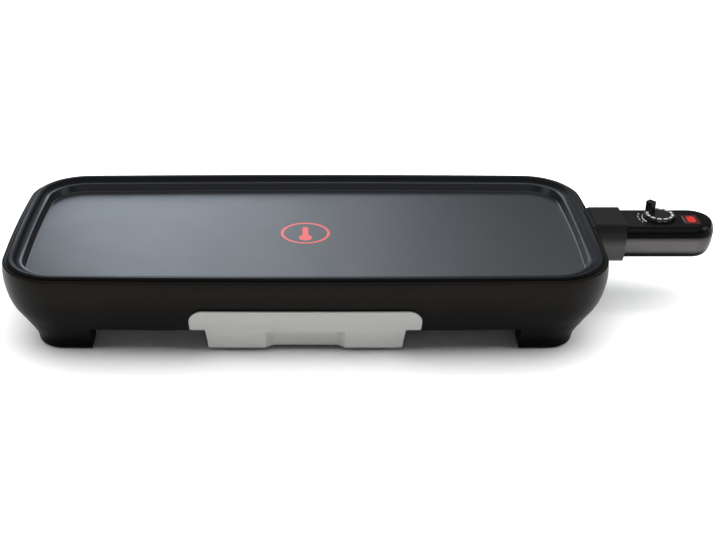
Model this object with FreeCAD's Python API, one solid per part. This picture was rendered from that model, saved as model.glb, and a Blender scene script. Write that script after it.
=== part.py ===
import FreeCAD, Part
import math
import os

from FreeCAD import Vector

# An electric plancha: a coated cooking plate in a black plastic base, with a
# pull-out drip tray at the front and a plug-in thermostat at the right end.
# Millimetres. While it is modelled, X runs along the plancha from the middle
# of the plate, Y away from the cook and Z up from the table. Each piece is
# moved along X as it is saved, so that the origin ends up on the table under
# the middle of the whole appliance.

# Body seen from above: four bowed sides and four round corners
body_length = 505.0
body_width = 225.8
corner_radius = 48.0
side_bow = 2.5
end_bow = 1.6

# Base housing. Heights up to the rim are counted down from it
rim_height = 75.5
rim_width = 3.0
rim_round = 1.2
wall = 2.6
ledge_drop = 4.5
ledge_width = 8.0
ledge_thickness = 4.0
skirt_drop = 50.8
flange_thickness = 2.5
flange_inset = 27.0
gusset_height = 16.0
gusset_thickness = 2.0
gusset_spacing = 58.0
gusset_end_y = 50.0
foot_bottom = 0.7
foot_length = 74.0
foot_depth = 56.9
foot_corner = 9.0
foot_round = 2.4
foot_floor = 4.0
# How far the wall stands inside the rim's edge, by its share of the rim's height
body_section = (
    (1.0, 0.0),
    (0.90, -0.8),
    (0.795, -0.4),
    (0.69, 0.9),
    (0.583, 3.2),
    (0.477, 6.9),
    (0.371, 12.2),
    (0.265, 17.2),
    (0.159, 22.0),
    (0.08, 23.9),
    (0.0, 25.9),
)

# Rubber pads under the feet
pad_radius = 7.0
pad_recess = 1.5
pad_fit = 0.15
pad_from_end = 52.5
pad_from_side = 45.9

# Cooking plate
plate_gap = 0.3
lip_rise = 2.5
lip_width = 6.5
shelf_inset = 16.0
shelf_drop = 3.8
basin_inset = 18.2
basin_depth = 10.4
plate_thickness = 3.8
floor_overlap = 6.0
drain_length = 26.0
drain_width = 6.0
drain_from_side = 22.9
spout_wall = 2.4
spout_drop = 11.8

# Heating element: a tube in a serpentine under the plate, in cast grooves
element_radius = 3.3
element_drop = 3.8
groove_fit = 0.05
track_width = 12.0
track_lip = 1.2
run_from_side = 50.9
run_left_from_end = 56.5
run_right_from_end = 122.5
run_bend = 16.0

# Plug axis, and the two pins beside the probe
plug_y = 16.0
pin_drop = 5.5
pin_spacing = 24.0
pin_radius = 2.4
pin_start_from_end = 38.5
pin_tip_from_end = 5.5
bead_radius = 4.6
bead_wall = 3.4
bead_length = 9.0
probe_radius = 2.5
probe_reach = 71.5
probe_fit = 0.35
pocket_length = 34.0
pocket_from_end = 40.5
pocket_width = 13.0

# Socket guard round the pins, screwed under the plate. Heights are counted from the pins
guard_reach = 27.5
guard_over = 22.8
guard_under = 14.5
guard_half = 23.0
guard_top_half = 17.5
guard_bottom_half = 14.5
guard_start_from_end = 34.5
guard_box_half = 20.5
guard_box_under = 8.9
guard_box_gap = 1.2
guard_wall = 2.4
guard_mouth = 3.5
guard_gap = 0.5
tab_half = 6.0
tab_thickness = 2.4
guard_screw_from_end = 27.5
guard_screw_y = 29.0

# Thermostat. Heights are counted from the pins
pod_gap = 5.5
pod_length = 103.0
pod_over = 20.5
pod_under = 10.5
pod_parting_rise = 10.2
pod_parting_gap = 0.3
pod_half = 21.0
pod_top_half = 16.0
pod_bottom_half = 14.5
pod_wall = 2.2
plug_reach = 32.0
plug_half = 16.6
plug_height = 10.2
socket_radius = 3.3
socket_fit = 0.1
plug_fit = 0.1
flange_depth = 3.0
dial_along = 54.7
dial_radius = 13.4
dial_gap = 0.3
dial_thickness = 3.4
dial_notches = 12
fin_width = 6.0
fin_length = 7.4
fin_height = 9.2
fin_offset = 10.2
fin_angle = 132.0
spindle_radius = 3.0
spindle_fit = 0.06
spindle_length = 14.5
lens_along = 81.5
lens_aside = -4.5
lens_length = 14.2
lens_width = 19.0
lens_round = 2.5
lens_stand = 0.5
lens_thickness = 2.6
lens_fit = 0.1
lamp_radius = 2.8
lamp_length = 13.0
switch_length = 40.0
switch_width = 17.0
switch_over = 6.5
switch_under = 6.2
blade_thickness = 0.9
blade_width = 7.0
gland_along = 79.0
gland_over = 3.0
gland_radius = 5.5
gland_head = 7.0
gland_length = 9.5
gland_head_length = 2.5
cord_hole_radius = 3.7
case_screw_along = (14.0, 64.0)
case_screw_y = 11.9
post_radius = 3.2

# Reflector sheet under the element
sheet_thickness = 0.8
sheet_gap = 6.7
sheet_rim = 6.0
sheet_from_end = 52.5
sheet_right_from_end = 84.5
sheet_front_from_side = 37.9
sheet_back_from_side = 34.9
sheet_corner = 14.0
sheet_bead_half = 4.0
sheet_bead_rise = 1.4
sheet_bead_spacing = 20.0
sheet_bead_margin = 26.0
boss_radius = 4.5
boss_x = 100.0

# Screws
screw_radius = 1.9
screw_head_radius = 3.6
screw_head_height = 2.2
guard_screw_length = 4.5
reflector_screw_length = 8.0
case_screw_length = 22.5
screw_well = 2.6
thread_fit = 0.1

# Drip tray
tray_half = 79.0
tray_under_sheet = 9.0
tray_bottom = 8.0
tray_back_from_side = 62.9
tray_wall = 1.6
tray_taper = 3.0
tray_corner = 9.0
tray_lip = 6.0
tray_lip_thickness = 1.6
tray_behind_front = 5.4
tray_rib_height = 1.2
tray_rib_half = 1.0
tray_rib_spacing = 24.0
tray_rib_margin = 20.0

# Tray front
front_rise = 8.9
front_bottom = 4.3
front_ear = 15.8
front_corner = 11.5
front_step_rise = 2.6
front_lower = 3.4
front_foot = 2.0
front_proud = 2.0
front_gap = 0.35
front_backing = 1.6
scoop_half = 27.0
scoop_flank = 6.0
scoop_under_step = 2.5
scoop_slope = 3.5
scoop_depth = 4.6
scoop_soft = 2.4
scoop_skin = 1.55
shelf_thickness = 2.0
shelf_gap = 0.2
peg_radius = 2.0
peg_inset = 21.0
peg_depth = 6.0
slot_margin = 3.5

# Tray runners
runner_gap = 0.3
runner_wall = 2.4
runner_foot = 10.0
runner_from_side = 15.9
runner_hook = 4.6
tray_side_gap = 0.8

# Places worked out from the sizes above
half_length = body_length / 2
half_width = body_width / 2
ledge_height = rim_height - ledge_drop
skirt_bottom = rim_height - skirt_drop
flange_top = skirt_bottom + flange_thickness
foot_inner_x = half_length - foot_length
foot_inner_y = half_width - foot_depth
pad_x = half_length - pad_from_end
pad_y = half_width - pad_from_side
lip_height = rim_height + lip_rise
plate_floor = lip_height - basin_depth
plate_under = plate_floor - plate_thickness
drain_y = drain_from_side - half_width
spout_bottom = plate_under - spout_drop
element_height = plate_under - element_drop
track_bottom = element_height - track_lip
run_outer = half_width - run_from_side
run_inner = run_outer / 3
run_left = run_left_from_end - half_length
run_right = half_length - run_right_from_end
pin_height = element_height - pin_drop
pin_start = half_length - pin_start_from_end
pin_tip = half_length - pin_tip_from_end
probe_tip = half_length - probe_reach
pocket_end = half_length - pocket_from_end
pocket_start = pocket_end - pocket_length
guard_end = half_length + guard_reach
guard_mouth_x = half_length + guard_mouth
guard_top = pin_height + guard_over
guard_bottom = pin_height - guard_under
guard_start = half_length - guard_start_from_end
guard_box_top = plate_under - guard_box_gap
guard_box_bottom = pin_height - guard_box_under
guard_screw_x = half_length - guard_screw_from_end
pod_start = half_length + pod_gap
pod_end = pod_start + pod_length
pod_top = pin_height + pod_over
pod_bottom = pin_height - pod_under
pod_parting = pin_height + pod_parting_rise
pod_turn_x = pod_end - pod_half
plug_start = pod_start - plug_reach
plug_top = pin_height + plug_height / 2
plug_bottom = pin_height - plug_height / 2
dial_x = pod_start + dial_along
lens_x = pod_start + lens_along
lens_y = plug_y + lens_aside
switch_top = pin_height + switch_over
switch_bottom = pin_height - switch_under
gland_x = pod_start + gland_along
gland_height = pin_height + gland_over
sheet_height = element_height - element_radius - sheet_gap
sheet_left = sheet_from_end - half_length
sheet_right = half_length - sheet_right_from_end
sheet_front = sheet_front_from_side - half_width
sheet_back = half_width - sheet_back_from_side
boss_y = (run_outer + run_inner) / 2
tray_top = sheet_height - tray_under_sheet
tray_back = half_width - tray_back_from_side
front_top = tray_top + front_rise
front_step = skirt_bottom + front_step_rise
front_half = tray_half + front_ear
front_lower_half = tray_half + front_lower
front_foot_half = tray_half + front_foot
scoop_top = front_step - scoop_under_step
peg_x = tray_half - peg_inset
runner_end = half_width - runner_from_side
bulge = -min(inset for share, inset in body_section)
origin_x = (pod_end - half_length - bulge) / 2
saved = {}


def save(name, shape):
    """Write one piece, moved so that the appliance is centred on the origin."""
    piece = shape.copy()
    piece.translate(Vector(-origin_x, 0, 0))
    if not piece.isValid() or not piece.Solids:
        print("check", name, piece.isValid(), len(piece.Solids))
    os.makedirs("parts", exist_ok=True)
    piece.exportStep("parts/" + name + ".step")
    saved[name] = len(piece.Solids)


def box(x0, x1, y0, y1, z0, z1):
    return Part.makeBox(x1 - x0, y1 - y0, z1 - z0, Vector(x0, y0, z0))


def rod(start, end, radius):
    """A round bar from one point to another."""
    start, end = Vector(*start), Vector(*end)
    return Part.makeCylinder(radius, (end - start).Length, start, end - start)


def fused(shapes):
    """All the shapes as one solid, without the seams between them."""
    whole = shapes[0].multiFuse(shapes[1:]).removeSplitter()
    return whole.Solids[0] if len(whole.Solids) == 1 else whole


def group(solids):
    return Part.makeCompound(solids)


def rounded_wire(corners, radii, place):
    """A closed outline whose corners are rounded; place puts (u, v) in space."""
    count = len(corners)
    starts, middles, ends = [], [], []
    for i in range(count):
        corner = Vector(*corners[i], 0)
        before = Vector(*corners[i - 1], 0) - corner
        after = Vector(*corners[(i + 1) % count], 0) - corner
        before.normalize()
        after.normalize()
        half = before.getAngle(after) / 2
        reach = radii[i] / math.tan(half)
        bisector = before + after
        bisector.normalize()
        centre = corner + bisector * (radii[i] / math.sin(half))
        starts.append(corner + before * reach)
        middles.append(centre - bisector * radii[i])
        ends.append(corner + after * reach)
    edges = []
    for i in range(count):
        after = (i + 1) % count
        if radii[i] > 0:
            arc = [place(p.x, p.y) for p in (starts[i], middles[i], ends[i])]
            edges.append(Part.Arc(*arc).toShape())
        line = [place(p.x, p.y) for p in (ends[i], starts[after])]
        if line[0].distanceToPoint(line[1]) > 1e-6:
            edges.append(Part.LineSegment(*line).toShape())
    return Part.Wire(edges)


def flat(z):
    return lambda x, y: Vector(x, y, z)


def across(x):
    return lambda y, z: Vector(x, y, z)


def upright(y):
    return lambda x, z: Vector(x, y, z)


def prism(wire, vector):
    return Part.Face(wire).extrude(vector)


def rectangle(x0, x1, y0, y1):
    return [(x0, y0), (x1, y0), (x1, y1), (x0, y1)]


def rounded_box(x0, x1, y0, y1, z0, z1, radius):
    wire = rounded_wire(rectangle(x0, x1, y0, y1), [radius] * 4, flat(z0))
    return prism(wire, Vector(0, 0, z1 - z0))


def mirrored(shape, normal):
    return shape.mirror(Vector(0, 0, 0), normal)


def bow_radius(half_chord, bow):
    """Radius of an arc that rises by bow over a chord."""
    return (half_chord**2 + bow**2) / (2 * bow)


def round_corner(side_centre, side_reach, end_centre, end_reach):
    """Where the centre of a corner arc lies, given its distance from the centres of the two bows."""
    apart = end_centre - side_centre
    length = apart.Length
    along = (side_reach**2 - end_reach**2 + length**2) / (2 * length)
    aside = math.sqrt(side_reach**2 - along**2)
    unit = apart / length
    return side_centre + unit * along + Vector(unit.y, -unit.x, 0) * aside


side_radius = bow_radius(half_length - corner_radius, side_bow)
end_radius = bow_radius(half_width - corner_radius, end_bow)
side_centre = Vector(0, half_width - side_radius, 0)
end_centre = Vector(half_length - end_radius, 0, 0)
corner_centre = round_corner(
    side_centre, side_radius - corner_radius, end_centre, end_radius - corner_radius
)
to_side = (corner_centre - side_centre).normalize()
to_end = (corner_centre - end_centre).normalize()
to_corner = (to_side + to_end).normalize()


def outline(inset, z):
    """The body's outline, drawn in by inset: every arc keeps its centre and loses that much radius."""
    radius = corner_radius - inset
    side = corner_centre + to_side * radius
    corner = corner_centre + to_corner * radius
    end = corner_centre + to_end * radius
    top = Vector(0, half_width - inset, 0)
    tip = Vector(half_length - inset, 0, 0)
    quarter = side.x / 2
    on_side = Vector(quarter, side_centre.y + math.sqrt((side_radius - inset) ** 2 - quarter**2), 0)

    def at(point, sign_x, sign_y):
        return Vector(point.x * sign_x, point.y * sign_y, z)

    arcs = [
        (at(top, 1, -1), at(on_side, 1, -1), at(side, 1, -1)),
        (at(side, 1, -1), at(corner, 1, -1), at(end, 1, -1)),
        (at(end, 1, -1), at(tip, 1, 1), at(end, 1, 1)),
        (at(end, 1, 1), at(corner, 1, 1), at(side, 1, 1)),
        (at(side, 1, 1), at(top, 1, 1), at(side, -1, 1)),
        (at(side, -1, 1), at(corner, -1, 1), at(end, -1, 1)),
        (at(end, -1, 1), at(tip, -1, 1), at(end, -1, -1)),
        (at(end, -1, -1), at(corner, -1, -1), at(side, -1, -1)),
        (at(side, -1, -1), at(on_side, -1, -1), at(top, 1, -1)),
    ]
    return Part.Wire([Part.Arc(*arc).toShape() for arc in arcs])


def slab(inset, z0, z1):
    return prism(outline(inset, z0), Vector(0, 0, z1 - z0))


def body_form(grow, low, high):
    """The body as one solid with its curved sides moved out by grow, cut between two heights."""
    wires = [outline(inset - grow, rim_height * share) for share, inset in body_section]
    form = Part.makeLoft(wires, True, False)
    reach = half_length + corner_radius
    return form.common(box(-reach, reach, -reach, reach, low, high))


def wall_inset(z):
    """How far the curved wall stands inside the rim's edge at height z, straight between stations."""
    share = z / rim_height
    for (high, a), (low, b) in zip(body_section, body_section[1:]):
        if share >= low:
            return b + (a - b) * (share - low) / (high - low)
    return body_section[-1][1]


def foot_zone(extra, z0, z1):
    """The four corner blocks that the feet take up, each with one rounded upright edge."""
    reach = half_length + corner_radius
    x0, y0 = foot_inner_x + extra, foot_inner_y + extra
    corners = [(x0, y0), (reach, y0), (reach, reach), (x0, reach)]
    radii = [max(foot_corner - extra, 0.5), 0, 0, 0]
    block = prism(rounded_wire(corners, radii, flat(z0)), Vector(0, 0, z1 - z0))
    right = [block, mirrored(block, Vector(0, 1, 0))]
    return right + [mirrored(foot, Vector(1, 0, 0)) for foot in right]


def plug_section(top_half, half, bottom_half, top, bottom, grow):
    """Half of the section across the thermostat's axis, as edges from the top's middle to the bottom's.

    The top and the bottom are flat. A quarter of an ellipse joins each to the widest place, at the parting.
    """
    edges = [Part.LineSegment(Vector(0, 0, top + grow), Vector(0, top_half, top + grow)).toShape()]
    rises = (top + grow - pod_parting, bottom - grow - pod_parting)
    for flat_half, rise in zip((top_half, bottom_half), rises):
        centre = Vector(0, flat_half, pod_parting)
        across_axis = centre + Vector(0, half + grow - flat_half, 0)
        up_axis = centre + Vector(0, 0, rise)
        wide = half + grow - flat_half > abs(rise)
        first, second = (across_axis, up_axis) if wide else (up_axis, across_axis)
        ellipse = Part.Ellipse(first, second, centre)
        ends = sorted(ellipse.parameter(point) for point in (across_axis, up_axis))
        if ends[1] - ends[0] > math.pi:
            ends = [ends[1], ends[0] + math.tau]
        edges.append(ellipse.toShape(ends[0], ends[1]))
    low = bottom - grow
    edges.append(Part.LineSegment(Vector(0, bottom_half, low), Vector(0, 0, low)).toShape())
    return edges


def closed_face(edges):
    return Part.Face(Part.Wire(Part.__sortEdges__(edges)))


def plug_form(edges, start, end, round_end):
    """The section carried along the thermostat's axis, and turned round its end where that is round."""
    whole = closed_face(edges + [mirrored(edge, Vector(0, 1, 0)) for edge in edges])
    straight_end = pod_turn_x if round_end else end
    whole.translate(Vector(start, plug_y, 0))
    form = whole.extrude(Vector(straight_end - start, 0, 0))
    if round_end:
        top, bottom = whole.BoundBox.ZMax, whole.BoundBox.ZMin
        axis = Part.LineSegment(Vector(0, 0, bottom), Vector(0, 0, top)).toShape()
        half = closed_face(edges + [axis])
        pivot = Vector(pod_turn_x, plug_y, 0)
        half.translate(pivot)
        form = fused([form, half.revolve(pivot, Vector(0, 0, 1), -180)])
    return form


def guard_outside(grow, x0, x1):
    edges = plug_section(guard_top_half, guard_half, guard_bottom_half, guard_top, guard_bottom, grow)
    return plug_form(edges, x0, x1, False)


def pod_form(grow, x0):
    """The thermostat's outside as one solid, or with a negative grow the space inside its case."""
    edges = plug_section(pod_top_half, pod_half, pod_bottom_half, pod_top, pod_bottom, grow)
    return plug_form(edges, x0, pod_end, True)


def pod_inside(grow, x0, x1):
    edges = plug_section(pod_top_half, pod_half, pod_bottom_half, pod_top, pod_bottom, grow)
    return plug_form(edges, x0, x1, False)


def base_housing():
    outer = body_form(0, foot_bottom, rim_height)
    top_edges = [e for e in outer.Edges if abs(e.BoundBox.ZMin - rim_height) < 1e-3]
    outer = outer.makeFillet(rim_round, top_edges)
    reach = half_length + corner_radius
    # Between the feet the wall ends at the skirt
    below = box(-reach, reach, -reach, reach, -reach, skirt_bottom)
    for foot in foot_zone(0, -2 * reach, skirt_bottom + 1):
        below = below.cut(foot)
    outer = outer.cut(below)
    foot_edges = [e for e in outer.Edges if abs(e.BoundBox.ZMax - foot_bottom) < 1e-3]
    outer = outer.makeFillet(foot_round, foot_edges)
    # Hollow above the floor flange, open through its middle, and down into each foot
    ledge_under = ledge_height - ledge_thickness
    hollow = body_form(-wall, flange_top, ledge_under)
    outer = outer.cut(hollow)
    outer = outer.cut(slab(ledge_width, ledge_under - 1, rim_height + 1))
    outer = outer.cut(slab(rim_width, ledge_height, rim_height + 1))
    way_down = slab(flange_inset, skirt_bottom - 1, flange_top + 1)
    for foot in foot_zone(0, skirt_bottom - 2, flange_top + 2):
        way_down = way_down.cut(foot)
    outer = outer.cut(way_down)
    pocket = body_form(-wall, foot_bottom + foot_floor, flange_top + 1)
    for foot in foot_zone(wall, 0, flange_top + 2):
        outer = outer.cut(pocket.common(foot))
    outer = fused([outer] + ledge_gussets())
    # Recesses for the rubber pads
    for x, y in pad_places():
        outer = outer.cut(rod((x, y, 0), (x, y, foot_bottom + pad_recess), pad_radius + pad_fit))
    # Stepped slot for the tray in the front wall
    low_half = tray_half + slot_margin
    high_half = tray_half + tray_lip + 1.2
    step = tray_top - tray_lip_thickness - 3
    outer = outer.cut(box(-low_half, low_half, -reach, -foot_inner_y, skirt_bottom - 1, step + 1))
    outer = outer.cut(
        box(-high_half, high_half, -reach, -half_width + flange_inset - 4, step, front_top - slot_margin)
    )
    # Open-topped notch for the socket guard in the right wall
    notch = guard_outside(guard_gap, half_length - ledge_width - 8, half_length + 5)
    slot = box(
        half_length - ledge_width - 8,
        half_length + 5,
        plug_y - guard_half - guard_gap,
        plug_y + guard_half + guard_gap,
        pod_parting,
        rim_height + 1,
    )
    outer = outer.cut(notch.fuse(slot))
    # Pilot holes for the runner screws
    for x, y in runner_screw_places():
        outer = outer.cut(
            rod((x, y, skirt_bottom - 1), (x, y, flange_top + 1), screw_radius + thread_fit)
        )
    return outer


def gusset_places():
    """Middles of the gussets along the long sides, and along the ends clear of the thermostat's notch."""
    count = int((half_length - corner_radius) / gusset_spacing)
    along = [i * gusset_spacing for i in range(-count, count + 1)]
    clear = tray_half + tray_lip + gusset_spacing / 4
    places = [(x, half_width) for x in along]
    places += [(x, -half_width) for x in along if abs(x) > clear]
    for y in (-gusset_end_y, 0, gusset_end_y):
        places.append((-half_length, y))
        if abs(y - plug_y) > guard_half + gusset_thickness:
            places.append((half_length, y))
    return places


def ledge_gussets():
    """Thin three-cornered ribs under the ledge: slices of a ring that tapers down to nothing at the wall."""
    top = ledge_height - ledge_thickness
    low = top - gusset_height
    ring = body_form(-wall / 2, low, top + 1)
    inner = [outline(wall_inset(low) + wall, low), outline(ledge_width, top), outline(ledge_width, top + 2)]
    ring = ring.cut(Part.makeLoft(inner, True, True))
    half, depth = gusset_thickness / 2, 2 * ledge_width
    slices = []
    for x, y in gusset_places():
        wide_x, wide_y = (half, depth) if abs(y) == half_width else (depth, half)
        slices.append(box(x - wide_x, x + wide_x, y - wide_y, y + wide_y, low, top + 1))
    return ring.common(group(slices)).Solids


def pad_places():
    return [(x, y) for x in (-pad_x, pad_x) for y in (-pad_y, pad_y)]


def foot_pad(x, y):
    pad = rod((x, y, 0), (x, y, foot_bottom + pad_recess - pad_fit), pad_radius)
    edges = [e for e in pad.Edges if e.BoundBox.ZMax < 0.01]
    return pad.makeFillet(0.6, edges)


def lip_point(inset, z):
    return Vector(0, -(half_width - inset), z)


def lip_wire(steps):
    """A closed section through the lip: a pair is a straight run, four numbers are an arc through a point."""
    edges = []
    here = lip_point(*steps[0])
    for step in steps[1:]:
        end = lip_point(*step[-2:])
        if len(step) == 4:
            edges.append(Part.Arc(here, lip_point(*step[:2]), end).toShape())
        else:
            edges.append(Part.LineSegment(here, end).toShape())
        here = end
    return Part.Wire(edges)


def lip_ring():
    """The plate's rolled lip, the shelf inside it and the basin's wall, swept round the outline."""
    outer = rim_width + plate_gap
    skirt = ledge_height + plate_gap
    crest = outer + 2.2
    inner = outer + lip_width - 0.3
    shelf = lip_height - shelf_drop
    steps = [
        (outer, skirt),
        (outer, lip_height - 2.0),
        (outer + 0.62, lip_height - 0.6, crest, lip_height),
        (crest + 2.2, lip_height - 0.2, inner, lip_height - 1.0),
        (inner + 2.6, lip_height - 2.85, shelf_inset - 0.9, shelf + 0.05),
        (shelf_inset, shelf - 0.15, shelf_inset + 0.5, shelf - 0.9),
        (basin_inset - 0.4, plate_floor + 1.4),
        (basin_inset, plate_floor + 0.4, basin_inset + 1.0, plate_floor),
        (basin_inset + floor_overlap, plate_floor),
        (basin_inset + floor_overlap, plate_under),
        (basin_inset - 2.3, plate_under),
        (shelf_inset - 3.4, shelf - 3.2),
        (outer + 3.7, shelf),
        (outer + 3.0, shelf),
        (outer + 3.0, skirt),
        (outer, skirt),
    ]
    return outline(0, 0).makePipeShell([lip_wire(steps)], True, True)


def element_path():
    """Serpentine with two runs each side of the middle; its ends turn down into line with the pins."""
    z = element_height
    near, far = plug_y - pin_spacing / 2, plug_y + pin_spacing / 2
    drop = element_height - pin_height
    angle = math.acos(1 - drop / (2 * run_bend))
    turn = (run_outer - run_inner) / 2
    middle = run_inner
    bend_x = run_right + middle + element_radius + run_bend
    exit_x = bend_x + run_bend
    slope = run_bend * math.sin(angle)
    edges = []

    def line(a, b):
        edges.append(Part.LineSegment(Vector(*a), Vector(*b)).toShape())

    def arc(a, b, c):
        edges.append(Part.Arc(Vector(*a), Vector(*b), Vector(*c)).toShape())

    def quarter(x, y, sign_x, sign_y, start, end):
        """An arc about a centre, given the signs of its middle and where it starts and ends."""
        reach = run_bend * math.sqrt(0.5)
        arc(start, (x + sign_x * reach, y + sign_y * reach, z), end)

    def down(y, forwards):
        half = angle / 2
        first = (exit_x + run_bend * math.sin(half), y, z - run_bend * (1 - math.cos(half)))
        knee = (exit_x + slope, y, z - drop / 2)
        second = (
            exit_x + 2 * slope - run_bend * math.sin(half),
            y,
            pin_height + run_bend * (1 - math.cos(half)),
        )
        last = (exit_x + 2 * slope, y, pin_height)
        top = (exit_x, y, z)
        pieces = [(top, first, knee), (knee, second, last)]
        pieces = pieces if forwards else [p[::-1] for p in pieces[::-1]]
        for piece in pieces:
            arc(*piece)

    pin = (pin_start, near, pin_height)
    line(pin, (exit_x + 2 * slope, near, pin_height))
    down(near, False)
    quarter(exit_x, near - run_bend, -1, 1, (exit_x, near, z), (bend_x, near - run_bend, z))
    line((bend_x, near - run_bend, z), (bend_x, -run_outer + run_bend, z))
    quarter(
        bend_x - run_bend,
        -run_outer + run_bend,
        1,
        -1,
        (bend_x, -run_outer + run_bend, z),
        (bend_x - run_bend, -run_outer, z),
    )
    line((bend_x - run_bend, -run_outer, z), (run_left, -run_outer, z))
    arc(
        (run_left, -run_outer, z),
        (run_left - turn, -run_outer + turn, z),
        (run_left, -run_inner, z),
    )
    line((run_left, -run_inner, z), (run_right, -run_inner, z))
    arc((run_right, -run_inner, z), (run_right + middle, 0, z), (run_right, run_inner, z))
    line((run_right, run_inner, z), (run_left, run_inner, z))
    arc(
        (run_left, run_inner, z),
        (run_left - turn, run_outer - turn, z),
        (run_left, run_outer, z),
    )
    rise = run_outer - far
    bend = rise / 2
    start_x = exit_x - 2 * bend
    line((run_left, run_outer, z), (start_x, run_outer, z))
    reach = bend * math.sqrt(0.5)
    arc(
        (start_x, run_outer, z),
        (start_x + reach, run_outer - bend + reach, z),
        (start_x + bend, run_outer - bend, z),
    )
    arc(
        (start_x + bend, run_outer - bend, z),
        (exit_x - reach, far + bend - reach, z),
        (exit_x, far, z),
    )
    down(far, True)
    line((exit_x + 2 * slope, far, pin_height), (pin_start, far, pin_height))
    return Part.Wire(edges)


def tube_along(path, radius):
    start = path.OrderedVertexes[0].Point
    section = Part.Wire(Part.makeCircle(radius, start, Vector(1, 0, 0)))
    return path.makePipeShell([section], True, False)


def flat_element_path():
    """The part of the serpentine that lies level, where the plate grips it."""
    edges = [
        e
        for e in element_path().Edges
        if abs(e.BoundBox.ZMin - element_height) < 1e-3 and abs(e.BoundBox.ZMax - element_height) < 1e-3
    ]
    return Part.Wire(edges)


def cooking_plate():
    floor = slab(basin_inset + floor_overlap - 1, plate_under, plate_floor)
    pieces = [lip_ring(), floor]
    # Cast track that holds the element
    path = flat_element_path()
    start = path.OrderedVertexes[0].Point
    half = track_width / 2
    corners = [
        (start.y - half, track_bottom),
        (start.y + half, track_bottom),
        (start.y + half, plate_under + 1),
        (start.y - half, plate_under + 1),
    ]
    section = rounded_wire(corners, [0, 0, 0, 0], across(start.x))
    pieces.append(path.makePipeShell([section], True, False))
    # Pocket for the probe, bosses for the reflector and the guard, drain spout
    pieces.append(
        box(
            pocket_start,
            pocket_end,
            plug_y - pocket_width / 2,
            plug_y + pocket_width / 2,
            pin_height - probe_radius - 2.5,
            plate_under + 1,
        )
    )
    for x, y in boss_places():
        pieces.append(rod((x, y, sheet_height + sheet_thickness), (x, y, plate_under + 1), boss_radius))
    for y in guard_screw_rows():
        pieces.append(rod((guard_screw_x, y, guard_box_top), (guard_screw_x, y, plate_under + 1), 5.0))
    length, width = drain_length / 2 + spout_wall, drain_width / 2 + spout_wall
    pieces.append(
        rounded_box(
            -length,
            length,
            drain_y - width,
            drain_y + width,
            spout_bottom,
            plate_under + 1,
            width - 0.01,
        )
    )
    plate = fused(pieces)
    plate = plate.cut(tube_along(path, element_radius + groove_fit))
    length, width = drain_length / 2, drain_width / 2
    plate = plate.cut(
        rounded_box(
            -length,
            length,
            drain_y - width,
            drain_y + width,
            spout_bottom - 1,
            plate_floor + 1,
            width - 0.01,
        )
    )
    bore = probe_radius + probe_fit
    plate = plate.cut(rod((pocket_start + 2, plug_y, pin_height), (pocket_end + 1, plug_y, pin_height), bore))
    for x, y in boss_places():
        top = plate_under
        plate = plate.cut(rod((x, y, sheet_height), (x, y, top), screw_radius + thread_fit))
    for y in guard_screw_rows():
        plate = plate.cut(
            rod(
                (guard_screw_x, y, guard_box_top - 1),
                (guard_screw_x, y, plate_under + 1.5),
                screw_radius + thread_fit,
            )
        )
    return plate


def boss_places():
    return [(x, y) for x in (-boss_x, boss_x) for y in (-boss_y, boss_y)]


def guard_screw_rows():
    return (plug_y - guard_screw_y, plug_y + guard_screw_y)


def pin_rows():
    return (plug_y - pin_spacing / 2, plug_y + pin_spacing / 2)


def terminal_pin(y):
    pin = rod((pin_start, y, pin_height), (pin_tip, y, pin_height), pin_radius)
    edges = [e for e in pin.Edges if e.BoundBox.XMin > pin_tip - 0.01]
    return pin.makeChamfer(1.0, edges)


def insulators():
    """Ceramic beads where each pin leaves the element, seated in the guard's back wall."""
    beads = []
    for y in pin_rows():
        start = pin_start + 0.2
        bead = rod((start, y, pin_height), (guard_start, y, pin_height), bead_radius)
        neck = rod(
            (start, y, pin_height), (start + bead_length, y, pin_height), bead_wall
        )
        hole = rod((start - 1, y, pin_height), (pin_tip, y, pin_height), pin_radius + 0.02)
        beads.append(bead.fuse(neck).removeSplitter().cut(hole))
    return group(beads)


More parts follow.
